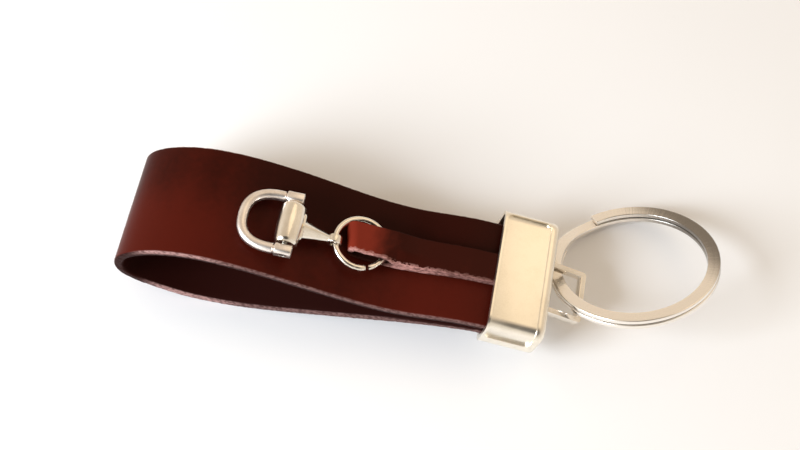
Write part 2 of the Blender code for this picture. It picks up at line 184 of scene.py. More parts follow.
CAMERA_TARGET = Vector((-6.38, 7.22, 0)) * MM
CAMERA_AWAY = 274 * MM
CAMERA_TURN = math.radians(10.51)
CAMERA_RISE = math.radians(62.64)
CAMERA_LENS = 55.84
camera_data = bpy.data.cameras.new("camera")
camera_data.sensor_width = 36
camera_data.lens = CAMERA_LENS
camera_data.clip_start = 0.01
camera = bpy.data.objects.new("camera", camera_data)
bpy.context.scene.collection.objects.link(camera)
camera_back = Vector((math.sin(CAMERA_TURN) * math.cos(CAMERA_RISE),
                      -math.cos(CAMERA_TURN) * math.cos(CAMERA_RISE), math.sin(CAMERA_RISE)))
camera.location = CAMERA_TARGET + CAMERA_AWAY * camera_back
camera.rotation_euler = camera_back.to_track_quat("Z", "Y").to_euler()
bpy.context.scene.camera = camera


# --- Main strap -----------------------------------------------------------------------------------
# One strip of glazed bridle leather, cut 25 mm wide and folded into the wrist loop. Its face is dyed
# dark oxblood and waxed, its flesh side is nearly black, and its cut edges are pale, rough and nicked.

MOUTH = Vector((14.46, -6.03, 0)) * MM  # the middle of the clamp's mouth, on the table
STRAP_WIDTH = 25 * MM
STRAP_THICK = 1.9 * MM
STRAP_CORNER = 0.45 * MM
STRAP_TAPER = 1.25 * MM  # how far the upper leg's far edge comes in at the clamp
STRAP_TAPER_FROM = -40 * MM
STRAP_TAPER_RUN = 42 * MM
STRAP_STEPS = 480
STRAP_ACROSS = 22
STRAP_FRAY = ((0.07, 0.8 * MM, 1), (0.05, 0.35 * MM, 2))  # depth in millimetres, lump size, seed
STRAP_CUT_IN = 0.04  # millimetres that the edge lies in, so that its fray stays in the strap's width
NICK_DEPTH = 0.35
NICK_SIZE = 1.5 * MM
NICK_FROM = 0.42  # only the noise above this makes nicks
WAVE_DEPTH = 0.05 * MM
WAVE_SIZE = 14 * MM
# Knots along its outer face in millimetres, ahead of the mouth and up: over the top, round and back.
STRAP_OUTER_FACE = (
    (8.5, 10.5), (1.2, 12.07), (-6, 12.6), (-16, 12.1), (-30.4, 15.2), (-47.2, 20.6), (-60.8, 22.3),
    (-69.7, 19.9), (-75.3, 14.9), (-75.9, 8.5), (-70.2, 3.7), (-62, 0.7), (-54, 0.0), (-45, 0.8),
    (-32.7, 3.1), (-16.1, 6.5), (-6, 8.0), (0.3, 8.06), (7.6, 6.5),
)


def smooth_path(knots, count):
    """Points on the natural cubic spline through the knots, spaced evenly by chord length."""
    knots = np.array(knots, float)
    at = np.concatenate([[0], np.cumsum(np.linalg.norm(np.diff(knots, axis=0), axis=1))])
    step = np.diff(at)
    size = len(at)
    system = np.eye(size)
    right = np.zeros_like(knots)
    for i in range(1, size - 1):
        system[i, i - 1: i + 2] = step[i - 1], 2 * (step[i - 1] + step[i]), step[i]
        rise = (knots[i + 1] - knots[i]) / step[i] - (knots[i] - knots[i - 1]) / step[i - 1]
        right[i] = 6 * rise
    bend = np.linalg.solve(system, right)
    places = []
    for t in np.linspace(0, at[-1], count):
        i = min(np.searchsorted(at, t, side="right") - 1, size - 2)
        a, b = at[i + 1] - t, t - at[i]
        h = step[i]
        places.append(
            (bend[i] * a**3 + bend[i + 1] * b**3) / (6 * h)
            + (knots[i] / h - bend[i] * h / 6) * a
            + (knots[i + 1] / h - bend[i + 1] * h / 6) * b
        )
    return np.array(places)


def unit_normals(path):
    """Unit vectors square to a flat path, to the left of its direction."""
    along = np.gradient(path, axis=0)
    along /= np.linalg.norm(along, axis=1)[:, None]
    return np.column_stack([-along[:, 1], along[:, 0]])


def sleeve(name, along, around, shape, **bands):
    """A grid wrapped into a tube with closed ends. shape(i, j) gives each of its points.

    Each band is an attribute for the material, with its value at each point round the tube.
    """
    bpy.ops.object.select_all(action="DESELECT")
    bpy.ops.mesh.primitive_grid_add(x_subdivisions=along - 1, y_subdivisions=around, size=2)
    obj = bpy.context.object
    obj.name = name
    for band in bands:
        obj.data.attributes.new(band, "FLOAT", "POINT")
    for vertex in obj.data.vertices:
        i = round((vertex.co.x + 1) / 2 * (along - 1))
        j = round((vertex.co.y + 1) / 2 * around) % around
        for name, values in bands.items():
            obj.data.attributes[name].data[vertex.index].value = values[j]
        vertex.co = shape(i, j)
    bpy.ops.object.mode_set(mode="EDIT")
    bpy.ops.mesh.select_all(action="SELECT")
    bpy.ops.mesh.remove_doubles(threshold=1e-7)
    bpy.ops.mesh.select_all(action="DESELECT")
    bpy.ops.mesh.select_non_manifold()
    bpy.ops.mesh.fill_holes(sides=0)
    bpy.ops.mesh.select_all(action="SELECT")
    bpy.ops.mesh.normals_make_consistent(inside=False)
    bpy.ops.object.mode_set(mode="OBJECT")
    return obj


def strip_section(half_width, half_thick, corner, across, corner_steps=5):
    """A strip's outline with rounded corners, as (sideways, outwards), from the outer face round."""
    points = [(x, half_thick) for x in np.linspace(-1, 1, across)[:-1] * (half_width - corner)]
    for turn in (0, 1, 2, 3):
        sideways = half_width - corner if turn in (0, 1) else corner - half_width
        outwards = half_thick - corner if turn in (0, 3) else corner - half_thick
        for step in range(corner_steps + 1):
            angle = math.pi / 2 * (1 - turn - step / corner_steps)
            points.append((sideways + corner * math.cos(angle), outwards + corner * math.sin(angle)))
        if turn == 1:
            points += [(x, -half_thick) for x in np.linspace(sideways, -sideways, across)[1:-1]]
        elif turn < 3:
            side, level = points[-1]
            points += [(side, z) for z in np.linspace(level, -level, 4)[1:-1]]
    return points


def rough(point, size, seed):
    """Smooth noise from -1 to 1, with lumps of about size metres."""
    return noise.noise(Vector(point) / size + Vector((seed, 2 * seed, 3 * seed)))


strap_face = smooth_path(STRAP_OUTER_FACE, STRAP_STEPS) * MM
strap_normal = unit_normals(strap_face)
if strap_normal[0][1] < 0:
    strap_normal = -strap_normal
strap_middle = strap_face - strap_normal * STRAP_THICK / 2
loop_end = int(np.argmin(strap_face[:, 0]))
strap_section = strip_section(STRAP_WIDTH / 2, STRAP_THICK / 2, STRAP_CORNER, STRAP_ACROSS)


def strap_point(i, j):
    """A point of the strip, with its edges frayed and nicked, and its faces a little wavy."""
    sideways, outwards = strap_section[j]
    x, z = strap_middle[i] + strap_normal[i] * outwards
    if i < loop_end and sideways > 0:
        towards_clamp = min(max((x - STRAP_TAPER_FROM) / STRAP_TAPER_RUN, 0), 1)
        sideways -= STRAP_TAPER * towards_clamp * sideways / (STRAP_WIDTH / 2)
    point = Vector((x, sideways, z)) + MOUTH
    edge = max(0.0, (abs(strap_section[j][0]) - STRAP_WIDTH / 2 + STRAP_CORNER) / STRAP_CORNER)
    fray = sum(depth * rough(point, lump, seed) for depth, lump, seed in STRAP_FRAY)
    nick = NICK_DEPTH * max(0.0, rough(point, NICK_SIZE, 3) - NICK_FROM)
    point.y -= math.copysign(edge * (STRAP_CUT_IN - fray + nick) * MM, sideways)
    wave = WAVE_DEPTH * rough(point, WAVE_SIZE, 4) * (1 - edge)
    point.x += strap_normal[i][0] * wave
    point.z += strap_normal[i][1] * wave
    return point


def bands_of(outline):
    """Two bands from a strip's outline, for leather().

    outward goes from -1 on its inner face to 1 on its outer one, and sideward is the distance in
    millimetres from its nearer edge: 0 on the edge, and less than 0 in from it.
    """
    half_width = max(sideways for sideways, _ in outline)
    half_thick = max(outwards for _, outwards in outline)
    return {"outward": [outwards / half_thick for _, outwards in outline],
            "sideward": [(abs(sideways) - half_width) / MM for sideways, _ in outline]}


strap = sleeve("leather_strap", len(strap_face), len(strap_section), strap_point,
               **bands_of(strap_section))

PORES_PER_MM = 2.6
GRAIN_DEPTH = 0.01 * MM
FIBRE_SIZE = 0.5 * MM
FIBRE_DEPTH = 0.08 * MM
WAX_SHEEN = 0.04  # waxed leather reflects far less than its polish suggests


def read_band(place, name):
    return place.node("Attribute", {"attribute_name": name}, {}, 2)


def leather(name, face, deep, flesh, raw, gloss, painted_light, fray, lip, rim):
    """Dyed, waxed leather: mottled colour on the face, dark flesh side, pale fibrous cut edges.

    The two functions passed in give, at a position on the piece, the share of the face colour, which is
    painted light and shade, and the share of the raw colour. The raw colour is the pale cut edge with a
    painted highlight on it. It starts at lip on the cut edge, -1 to 1 outwards, and runs rim millimetres
    onto the face. Where the strip lies near the table, its whole edge gets it, as a painted highlight.
    """
    made, shader, place = new_material(name, face, gloss)
    outward, sideward = read_band(place, "outward"), read_band(place, "sideward")
    fibre = place.mottle(FIBRE_SIZE, 4.0, (0.6, 1, 1)).between(0.38, 0.62)
    cut = sideward.between(-0.3, -0.1)
    # Painted highlight: the raw colour on the cut edge's outer corner, and on the whole edge near the table, is
    # partly the pale raw edge and partly a painted highlight.
    near_table = 1 - place.parts()[2].between(6 * MM, 11 * MM)
    raw_edge_and_highlight = (outward + 1.3 * near_table).between(lip, lip + 0.8) * (0.35 + 0.65 * fibre) * fray(place)
    raw_edge_and_highlight = raw_edge_and_highlight * (sideward - rim * (fibre - 1)).between(-0.45, -0.12)
    inside = (0.0 - outward).between(0.55, 0.9)
    # The face's share is painted light and shade from the function passed in, plus random dye mottling.
    dye_and_painted_light = painted_light(place) + 0.55 * (place.mottle(9 * MM, 3.0, (1.6, 0.7, 1)) - 0.5)
    dye_and_painted_light = dye_and_painted_light + 0.35 * (place.mottle(1.4 * MM, 4.0) - 0.5)
    skin = inside.colour(dye_and_painted_light.between(0.0, 1.0).colour(deep, face), flesh)
    skin = (cut * (1 - outward.between(0.9, 1.0))).colour(skin, flesh)
    raw_edge_and_highlight.colour(skin, raw).into(shader, "Base Color")
    wax = place.mottle(9 * MM)
    (gloss - 0.06 + 0.12 * wax + 0.22 * inside + 0.1 * cut).into(shader, "Roughness")
    pores = place.node("TexVoronoi", {}, {"Vector": place, "Scale": PORES_PER_MM / MM})
    grain = (pores * 0.5 + 0.5 * place.mottle(0.45 * MM, 4.0)).bump(GRAIN_DEPTH, 0.3)
    (fibre * cut).bump(FIBRE_DEPTH, 0.5, grain).into(shader, "Normal")
    shader.inputs["Specular IOR Level"].default_value = WAX_SHEEN
    return made


def strap_painted_light(place):
    """Painted light and shade: redder where lit, on the near side and over the loop's end, darkest in
    painted shade along the far edge, darker by the bit, and lit by the clamp on the near side.
    """
    x, y, _ = place.parts()
    # Painted shade: the face darkens towards the far side.
    far_side = y.between(-13 * MM, 3 * MM)
    by_bit = x.between(-46 * MM, -24 * MM)
    # Painted light: the face is brighter on the near side next to the clamp.
    lit_by_clamp = 0.4 * x.between(-16 * MM, 4 * MM) * (1 - far_side)
    return 0.95 - 0.6 * far_side - 0.42 * by_bit + lit_by_clamp


def strap_edge_raw_and_highlight(place):
    """The cut edge is burnished dark round the loop's end. After it, the pale raw edge carries a painted
    highlight streak, which is fainter along the legs.
    """
    x, _, _ = place.parts()
    past_loop_end = x.between(-58 * MM, -52 * MM)
    along_legs = x.between(-44 * MM, -34 * MM)
    # Painted highlight: the raw colour's share peaks just past the loop's end.
    return 1.1 * past_loop_end * (1 - 0.6 * along_legs)


oxblood = leather("oxblood_leather", (0.072, 0.0078, 0.0038), (0.025, 0.0038, 0.002),
                  (0.022, 0.0042, 0.003), (0.4, 0.23, 0.21), 0.33, strap_painted_light, strap_edge_raw_and_highlight, -0.4, 0.0)


def alone(obj):
    """Selects one object and nothing else."""
    bpy.ops.object.select_all(action="DESELECT")
    obj.select_set(True)
    bpy.context.view_layer.objects.active = obj


def dress(obj, material, body, replaced, angle):
    """Gives a finished piece its material, smooth shading up to an angle and body, and hides the CAD node that it
    replaces.
    """
    obj.data.materials.clear()
    obj.data.materials.append(material)
    alone(obj)
    bpy.ops.object.shade_smooth_by_angle(angle=math.radians(angle))
    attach(obj, body)
    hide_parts(replaced)


dress(strap, oxblood, "root", "main_strap", 60)


# --- Tab ------------------------------------------------------------------------------------------
# A narrow strip of the same leather, folded round the jump ring with its face outwards. Its two layers
# are pared thinner towards the clamp, and its cut edge is left rough.

GAP = 0.3 * MM  # what is left free between pieces
TAB_WIDTH = 6.7 * MM
TAB_FOLD_X = -29.3 * MM
TAB_FOLD_RUN = 1.5 * MM  # from the fold's end to where the two layers begin
TAB_FOLD_DEPTH = 1.0 * MM
TAB_END_X = 8 * MM
TAB_LAYER = 1.0 * MM
TAB_CORNER = 0.24 * MM
TAB_TRIM = 0.2  # the share of its half width that is cut away at the fold's far corner
TAB_TRIM_FROM = TAB_FOLD_X + 4 * MM
TAB_TRIM_RUN = 5 * MM
TAB_SKEW = 1.5 * MM  # how much further the fold reaches at its far side
TAB_SKEW_RUN = 9 * MM
TAB_PINCH_X = -20.5 * MM  # the layers' edges are pressed together from here to the clamp
TAB_PINCH_RUN = 1.6 * MM
TAB_STEPS = 90
TAB_FOLD_STEPS = 20
TAB_ACROSS = 12
# How high the two layers stand over the strap in millimetres, at places ahead of the mouth.
TAB_HEIGHTS = ((-29.3, 4.0), (-20, 4.0), (-15, 2.9), (-8, 2.0), (0, 1.6), (9, 1.6))
upper_leg = strap_face[: loop_end + 1][::-1]


def above_strap(x, level):
    """The point at a level over the strap's upper face, measured square to it, from the mouth."""
    step = 1.5 * MM
    height, ahead, behind = (float(np.interp(x + d, upper_leg[:, 0], upper_leg[:, 1]))
                             for d in (0, step, -step))
    fall = math.atan2(behind - ahead, 2 * step)
    return np.array([x + level * math.sin(fall), height + level * math.cos(fall)])


def tab_height(x):
    heights = np.array(TAB_HEIGHTS) * MM
    return float(np.interp(x, heights[:, 0], heights[:, 1]))


def tab_layer(x):
    """How thick each layer is: pared where the two together must fit under the clamp."""
    return min(TAB_LAYER, (tab_height(x) - 0.06 * MM) / 2)


def tab_route():
    """The middle of the folded strip, and its thickness there."""
    start = TAB_FOLD_X + TAB_FOLD_RUN
    along = np.linspace(TAB_END_X, start, TAB_STEPS)
    under = [(above_strap(x, GAP + tab_layer(x) / 2), tab_layer(x)) for x in along]
    over = [(above_strap(x, GAP + tab_height(x) - tab_layer(x) / 2), tab_layer(x)) for x in along[::-1]]
    first, last = under[-1][0], over[0][0]
    centre, arm = (first + last) / 2, (first - last) / 2
    out = np.array([arm[1], -arm[0]])
    out *= np.sign(-out[0]) * TAB_FOLD_DEPTH / np.linalg.norm(out)
    fold = [(centre + arm * math.cos(a) + out * math.sin(a), TAB_LAYER)
            for a in np.linspace(0, math.pi, TAB_FOLD_STEPS)[1:-1]]
    both = under + fold + over
    return np.array([p for p, _ in both]), [t for _, t in both]


tab_path, tab_thick = tab_route()
tab_normal = unit_normals(tab_path)
if tab_normal[0][1] > 0:
    tab_normal = -tab_normal
tab_section = strip_section(TAB_WIDTH / 2, TAB_LAYER / 2, TAB_CORNER, TAB_ACROSS)


def tab_point(i, j):
    """A point of the strip, with the fold askew and trimmed, and the near edges pressed together."""
    sideways, outwards = tab_section[j]
    thick = tab_thick[i] / TAB_LAYER
    x, z = tab_path[i] + tab_normal[i] * outwards * thick
    edge = max(0.0, (abs(sideways) - TAB_WIDTH / 2 + TAB_CORNER) / TAB_CORNER)
    trim = max(0.0, (TAB_TRIM_FROM - x) / TAB_TRIM_RUN) ** 2
    skew = min(max((TAB_PINCH_X - x) / TAB_SKEW_RUN, 0), 1) * TAB_SKEW
    x -= skew * (0.5 + sideways / TAB_WIDTH)
    if i > len(tab_path) / 2:
        at_edge = min(max(-2.6 * sideways / TAB_WIDTH - 0.3, 0), 1)
        pinched = min(max((x - TAB_PINCH_X) / TAB_PINCH_RUN, 0), 1)
        z -= max(0.0, tab_height(x) - 2 * tab_thick[i] - 0.04 * MM) * at_edge * pinched
    sideways *= 1 - (TAB_TRIM if sideways > 0 else TAB_TRIM / 2) * trim
    point = Vector((x, sideways, z)) + MOUTH
    shared = Vector((point.x, sideways, 0))
    fray = 0.1 * rough(shared, 1.4 * MM, 5) + 0.06 * rough(point, 0.5 * MM, 6)
    point.y -= math.copysign(edge * (0.05 - fray) * MM, sideways)
    return point


tab = sleeve("folded_tab", len(tab_path), len(tab_section), tab_point, **bands_of(tab_section))


def tab_painted_light(place):
    """Painted light: bright red round the fold, where it is lit, and soon darker towards the clamp."""
    x, _, _ = place.parts()
    towards_clamp = x.between(-13.5 * MM, -3 * MM)
    return 1.1 - 1.1 * towards_clamp


def tab_edge_raw_and_shade(place):
    """Its near edge is raw all along, fainter towards the clamp, but at the fold only the upper layer's:
    the lower layer's edge there stays dark as painted shade. The far edge stays dark as painted shade.
    """
    x, y, z = place.parts()
    # Painted shade: at the fold, the lower layer's edge gets no raw colour and stays dark.
    upper_layer = 1 - (1 - x.between(-8 * MM, -4 * MM)) * (1 - z.between(16.6 * MM, 17.3 * MM))
    towards_clamp = x.between(-4 * MM, 9 * MM)
    # Painted shade: the far edge stays dark.
    far_edge = y.between(-7 * MM, -5 * MM)
    return (1.25 - 0.75 * towards_clamp) * upper_layer * (1 - far_edge)


# Its face colour is brighter than the strap's, for the painted light round the fold.
tab_leather = leather("tab_leather", (0.2, 0.024, 0.012), (0.034, 0.0055, 0.003),
                      (0.03, 0.008, 0.005), (0.52, 0.26, 0.23), 0.34, tab_painted_light, tab_edge_raw_and_shade, -1.9, 0.5)
dress(tab, tab_leather, "root", "tab_strap", 60)


# --- End clamp ------------------------------------------------------------------------------------
# A zinc casting plated in nickel: a hollow cap over the strap's two ends, with soft shoulders and a
# sunken panel on top that runs over the near shoulder. The bail's slot is cut through its end wall.

CLAMP_LENGTH = 12 * MM
CLAMP_WIDTH = 27.4 * MM
CLAMP_HEIGHT = 9.2 * MM
CLAMP_WALL = 1.3 * MM
CLAMP_SIDE_WALL = 0.9 * MM
SHOULDER = 2.7 * MM
FOOT_ROUND = 1.5 * MM
END_ROUND = 1.3 * MM
PANEL_DEPTH = 0.6 * MM
PANEL_FROM = 0.6 * MM
PANEL_TO = 10.1 * MM
PANEL_RIM = 1.2 * MM
PANEL_BOTTOM = 3.6 * MM
PANEL_CORNER = 1.3 * MM
PANEL_EDGE = 0.5 * MM
HOLLOW_CORNER = 0.8 * MM
CLAMP_EDGE = 0.14 * MM
BAIL_WIDTH = 11.4 * MM
BAIL_SIDE = -0.5 * MM
BAIL_LEVEL = 6.4 * MM
BAIL_SLOT = 2.9 * MM
BAIL_SLOT_DROP = 0.25 * MM
BAIL_SLOT_CORNER = 0.4 * MM

# The clamp's own frame: X from its mouth to its end wall, and Z up from its underside.
underside = next(m for m in frame["record"]["mounts"] if m["name"] == "clamp_underside")
clamp_up = -Vector(underside["axis"])
clamp_along = Vector((0, 1, 0)).cross(clamp_up)
clamp_corner = Vector(underside["pos_m"]) - clamp_along * CLAMP_LENGTH / 2
clamp_turn = Matrix((clamp_along, (0, 1, 0), clamp_up)).transposed().to_4x4()
clamp_place = Matrix.Translation(clamp_corner) @ clamp_turn


def block(name, low, high):
    """A cube between two corners, with its size applied."""
    low, high = Vector(low), Vector(high)
    bpy.ops.object.select_all(action="DESELECT")
    bpy.ops.mesh.primitive_cube_add(size=1, location=(low + high) / 2, scale=high - low)
    bpy.ops.object.transform_apply(location=True, rotation=True, scale=True)
    obj = bpy.context.object
    obj.name = name
    return obj


def soften(obj, kind, test, width, segments):
    """Bevels the edges, or the edges round the faces, whose middle and direction pass the test."""
    alone(obj)
    bpy.ops.object.mode_set(mode="EDIT")
    bpy.ops.mesh.select_mode(type="EDGE")
    bpy.ops.mesh.select_all(action="DESELECT")
    form = bmesh.from_edit_mesh(obj.data)
    if kind == "edges":
        for edge in form.edges:
            first, second = (v.co for v in edge.verts)
            edge.select_set(test((first + second) / 2, (second - first).normalized()))
    else:
        for face in form.faces:
            if test(face.calc_center_median(), face.normal):
                for edge in face.edges:
                    edge.select_set(True)
    bmesh.update_edit_mesh(obj.data)
    bpy.ops.mesh.bevel(offset=width, segments=segments, profile=0.5, affect="EDGES")
    bpy.ops.object.mode_set(mode="OBJECT")
    return obj


def modify(obj, kind, **settings):
    """Adds a modifier and applies it."""
    alone(obj)
    modifier = obj.modifiers.new(kind.lower(), kind)
    for name, value in settings.items():
        setattr(modifier, name, value)
    bpy.ops.object.modifier_apply(modifier=modifier.name)


def round_edges(obj, width, segments, angle):
    """Bevels every edge that is sharper than an angle in degrees."""
    modify(obj, "BEVEL", width=width, segments=segments, limit_method="ANGLE",
           angle_limit=math.radians(angle))


def carve(obj, cutter, operation="DIFFERENCE"):
    """Cuts with another object, or joins it, and removes it."""
    modify(obj, "BOOLEAN", operation=operation, object=cutter, solver="EXACT")
    bpy.data.objects.remove(cutter)


def cap_form(name, start, end, inset):
    """The clamp's outer form, or one inset from it, between two places along it."""
    low = (start, inset - CLAMP_WIDTH / 2, inset)
    high = (end, CLAMP_WIDTH / 2 - inset, CLAMP_HEIGHT - inset)
    form = block(name, low, high)
    soften(form, "edges", lambda m, d: abs(d.x) > 0.9 and m.z > CLAMP_HEIGHT / 2, SHOULDER - inset, 9)
    return soften(form, "edges", lambda m, d: abs(d.x) > 0.9 and m.z < inset + MM / 10
                  and abs(m.y) > CLAMP_WIDTH / 3, FOOT_ROUND - inset, 6)


clamp = cap_form("clamp", 0, CLAMP_LENGTH, 0)
soften(clamp, "faces", lambda m, n: n.x > 0.9, END_ROUND, 6)

sunk = block("panel_cutter", (PANEL_FROM, -CLAMP_WIDTH, PANEL_BOTTOM),
             (PANEL_TO, CLAMP_WIDTH / 2 - PANEL_RIM, 2 * CLAMP_HEIGHT))
soften(sunk, "edges", lambda m, d: abs(d.z) > 0.9 and m.y > 0, PANEL_CORNER, 8)
soften(sunk, "edges", lambda m, d: abs(d.y) > 0.9 and m.z < PANEL_BOTTOM + MM / 10, PANEL_CORNER, 8)
carve(sunk, cap_form("panel_floor", -CLAMP_LENGTH, 2 * CLAMP_LENGTH, PANEL_DEPTH))
round_edges(sunk, PANEL_EDGE, 4, 50)
carve(clamp, sunk)

hollow = block("hollow_cutter", (-CLAMP_WALL, CLAMP_SIDE_WALL - CLAMP_WIDTH / 2, CLAMP_WALL),
               (CLAMP_LENGTH - CLAMP_WALL, CLAMP_WIDTH / 2 - CLAMP_SIDE_WALL, CLAMP_HEIGHT - CLAMP_WALL))
soften(hollow, "edges", lambda m, d: abs(d.x) > 0.9, HOLLOW_CORNER, 4)
carve(clamp, hollow)
slot_middle = BAIL_LEVEL - BAIL_SLOT_DROP
slot = block("slot_cutter", (CLAMP_LENGTH - 2 * CLAMP_WALL, BAIL_SIDE - BAIL_WIDTH / 2 - GAP,
                             slot_middle - BAIL_SLOT / 2),
             (CLAMP_LENGTH + CLAMP_WALL, BAIL_SIDE + BAIL_WIDTH / 2 + GAP, slot_middle + BAIL_SLOT / 2))
soften(slot, "edges", lambda m, d: abs(d.x) > 0.9, BAIL_SLOT_CORNER, 3)
carve(clamp, slot)


def rod(sides, radius, length, place=(0, 0, 0), turn=0.0):
    """A cylinder that stands at a place, or is turned about X."""
    bpy.ops.object.select_all(action="DESELECT")
    bpy.ops.mesh.primitive_cylinder_add(vertices=sides, radius=radius, depth=length, location=place,
                                        rotation=(turn, 0, 0))
    return bpy.context.object


SCREW_X = 4 * MM
SCREW_SPACING = 16 * MM
SCREW_SINK = (2.2 * MM, 0.8 * MM)  # the radius and depth of the pocket for each head
SCREW_HOLE = (1.3 * MM, 2 * CLAMP_WALL)
for side in (-1, 1):
    for radius, depth in (SCREW_SINK, SCREW_HOLE):
        carve(clamp, rod(40, radius, 2 * depth, (SCREW_X, side * SCREW_SPACING / 2, 0)))
round_edges(clamp, CLAMP_EDGE, 2, 38)
clamp.data.transform(clamp_place)

SPECK = 0.25 * MM
SPECK_DEPTH = 0.012 * MM


def nickel(name, colour, dark, gloss, wear):
    """Plated metal: slight mottling of tone and polish, and a fine cast or tumbled surface."""
    made, shader, place = new_material(name, colour, gloss, 1.0)
    cloud = place.mottle(4 * MM, 4.0)
    speck = place.mottle(SPECK)
    tone = (0.65 * cloud + 0.35 * speck).between(0.3, 0.62)
    tone.colour(dark, colour).into(shader, "Base Color")
    (gloss - wear / 2 + wear * cloud + 0.5 * wear * speck).into(shader, "Roughness")
    speck.bump(SPECK_DEPTH, 0.3).into(shader, "Normal")
    return made


cast_nickel = nickel("cast_nickel", (0.95, 0.89, 0.78), (0.86, 0.8, 0.69), 0.28, 0.1)
dress(clamp, cast_nickel, "root", "clamp_cap", 35)


# --- Screws ---------------------------------------------------------------------------------------
# Two small slotted screws of turned steel hold the clamp through the leather, with their heads sunk in
# its underside. The bit's pin is turned from the same steel.

turned_steel = nickel("turned_steel", (0.62, 0.6, 0.57), (0.45, 0.44, 0.42), 0.34, 0.1)
for name in ("clamp_screw_1", "clamp_screw_2", "bit_pin"):
    node = frame["nodes"][name]
    node.data.materials.clear()
    node.data.materials.append(turned_steel)


# --- Bail -----------------------------------------------------------------------------------------
# A rectangular link bent from flat bar. Its inner bar lies behind the clamp's end wall, held there by
# an ear at each side, and its outer bar carries the split ring.

BAIL_BAR = 1.2 * MM
BAIL_HEIGHT = 1.7 * MM
BAIL_EAR = 1.6 * MM
BAIL_EASE = 0.08 * MM  # filed off the inside of the arms and the outer bar
BAIL_CORNER = 0.7 * MM
BAIL_INNER_CORNER = 0.12 * MM
BAIL_EDGE = 0.16 * MM
BAIL_DROOP = math.radians(23)
SIDEWAYS = math.pi / 2  # the turn that lays a rod along Y
joint_at = {joint["name"]: Vector(joint["pos_m"]) for joint in frame["joints"]}
hinge = joint_at["bail_pivot"]
outer_bar = joint_at["key_ring_swing"]
bail_end = (outer_bar - hinge).length + BAIL_BAR / 2

bail = block("bail_link", (-BAIL_BAR / 2, -BAIL_WIDTH / 2, -BAIL_HEIGHT / 2),
             (bail_end, BAIL_WIDTH / 2, BAIL_HEIGHT / 2))
soften(bail, "edges", lambda m, d: abs(d.z) > 0.9, BAIL_CORNER, 5)
bail_side = BAIL_WIDTH / 2 - BAIL_BAR + BAIL_EASE
opening = block("bail_opening", (BAIL_BAR / 2, -bail_side, -BAIL_HEIGHT),
                (bail_end - BAIL_BAR + BAIL_EASE, bail_side, BAIL_HEIGHT))
soften(opening, "edges", lambda m, d: abs(d.z) > 0.9, BAIL_INNER_CORNER, 2)
carve(bail, opening)
carve(bail, rod(24, BAIL_BAR / 2, BAIL_WIDTH + 2 * BAIL_EAR, turn=SIDEWAYS), "UNION")
round_edges(bail, BAIL_EDGE, 3, 40)
bail.data.transform(Matrix.Translation(hinge) @ Matrix.Rotation(BAIL_DROOP, 4, "Y"))
bright_nickel = nickel("bright_nickel", (0.92, 0.86, 0.77), (0.8, 0.73, 0.63), 0.2, 0.12)
dress(bail, bright_nickel, "bail", "bail", 35)


# --- Split ring -----------------------------------------------------------------------------------
# Flat steel wire wound into two coils and plated. The upper coil's square end lies on the joggle, where
# the lower coil steps up. It leans on the bail, with its near right side high.

RING_OUTER = 17.7 * MM
RING_INNER = 15.0 * MM
RING_COIL = 1.1 * MM
RING_COIL_GAP = 0.15 * MM
RING_CENTRE = Vector((44.36, 2.67, 0)) * MM
RING_NORMAL = Vector((-0.25, 0.37, 1)).normalized()
RING_JOG_START = math.radians(126)
RING_JOG = math.radians(38)
RING_EASE = 0.05 * MM  # taken off the wire all round, so that it slides in the bail
RING_CORNER = 0.22 * MM
RING_EDGE = 0.12 * MM
RING_STEPS = 360

half_width, half_coil = (RING_OUTER - RING_INNER) / 2, RING_COIL / 2
ring_section = strip_section(half_width - RING_EASE, half_coil - RING_EASE, RING_CORNER, 7, 4)
ring_turns = np.linspace(0, 4 * math.pi - RING_JOG, RING_STEPS)


def ring_point(i, j):
    """A point of the wire, which winds clockwise down from its upper end."""
    outwards, level = ring_section[j]
    turn = ring_turns[i]
    angle = RING_JOG_START - turn
    done = min(max((turn - (2 * math.pi - RING_JOG)) / RING_JOG, 0), 1)
    ease = done * done * (3 - 2 * done)
    radius = (RING_OUTER + RING_INNER) / 2 + outwards
    middle_level = (RING_COIL + RING_COIL_GAP) / 2 * (1 - 2 * ease)
    return Vector((radius * math.cos(angle), radius * math.sin(angle), middle_level + level))


ring = sleeve("split_ring", len(ring_turns), len(ring_section), ring_point)
lean = math.acos(RING_NORMAL.z)
ring_rest = RING_OUTER * math.sin(lean) + (RING_COIL + RING_COIL_GAP / 2) * math.cos(lean)
ring_place = (Matrix.Translation(RING_CENTRE + Vector((0, 0, ring_rest)))
              @ Vector((0, 0, 1)).rotation_difference(RING_NORMAL).to_matrix().to_4x4())
round_edges(ring, RING_EDGE, 2, 60)
ring.data.transform(ring_place)

LINES_ACROSS = 9 / MM
LINES_DOWN = 2.5 / MM
LINE_DEPTH = 0.008 * MM
SHADED_SIDE = (0.75, 0.66)  # the direction of the painted shade on the ring, from its middle


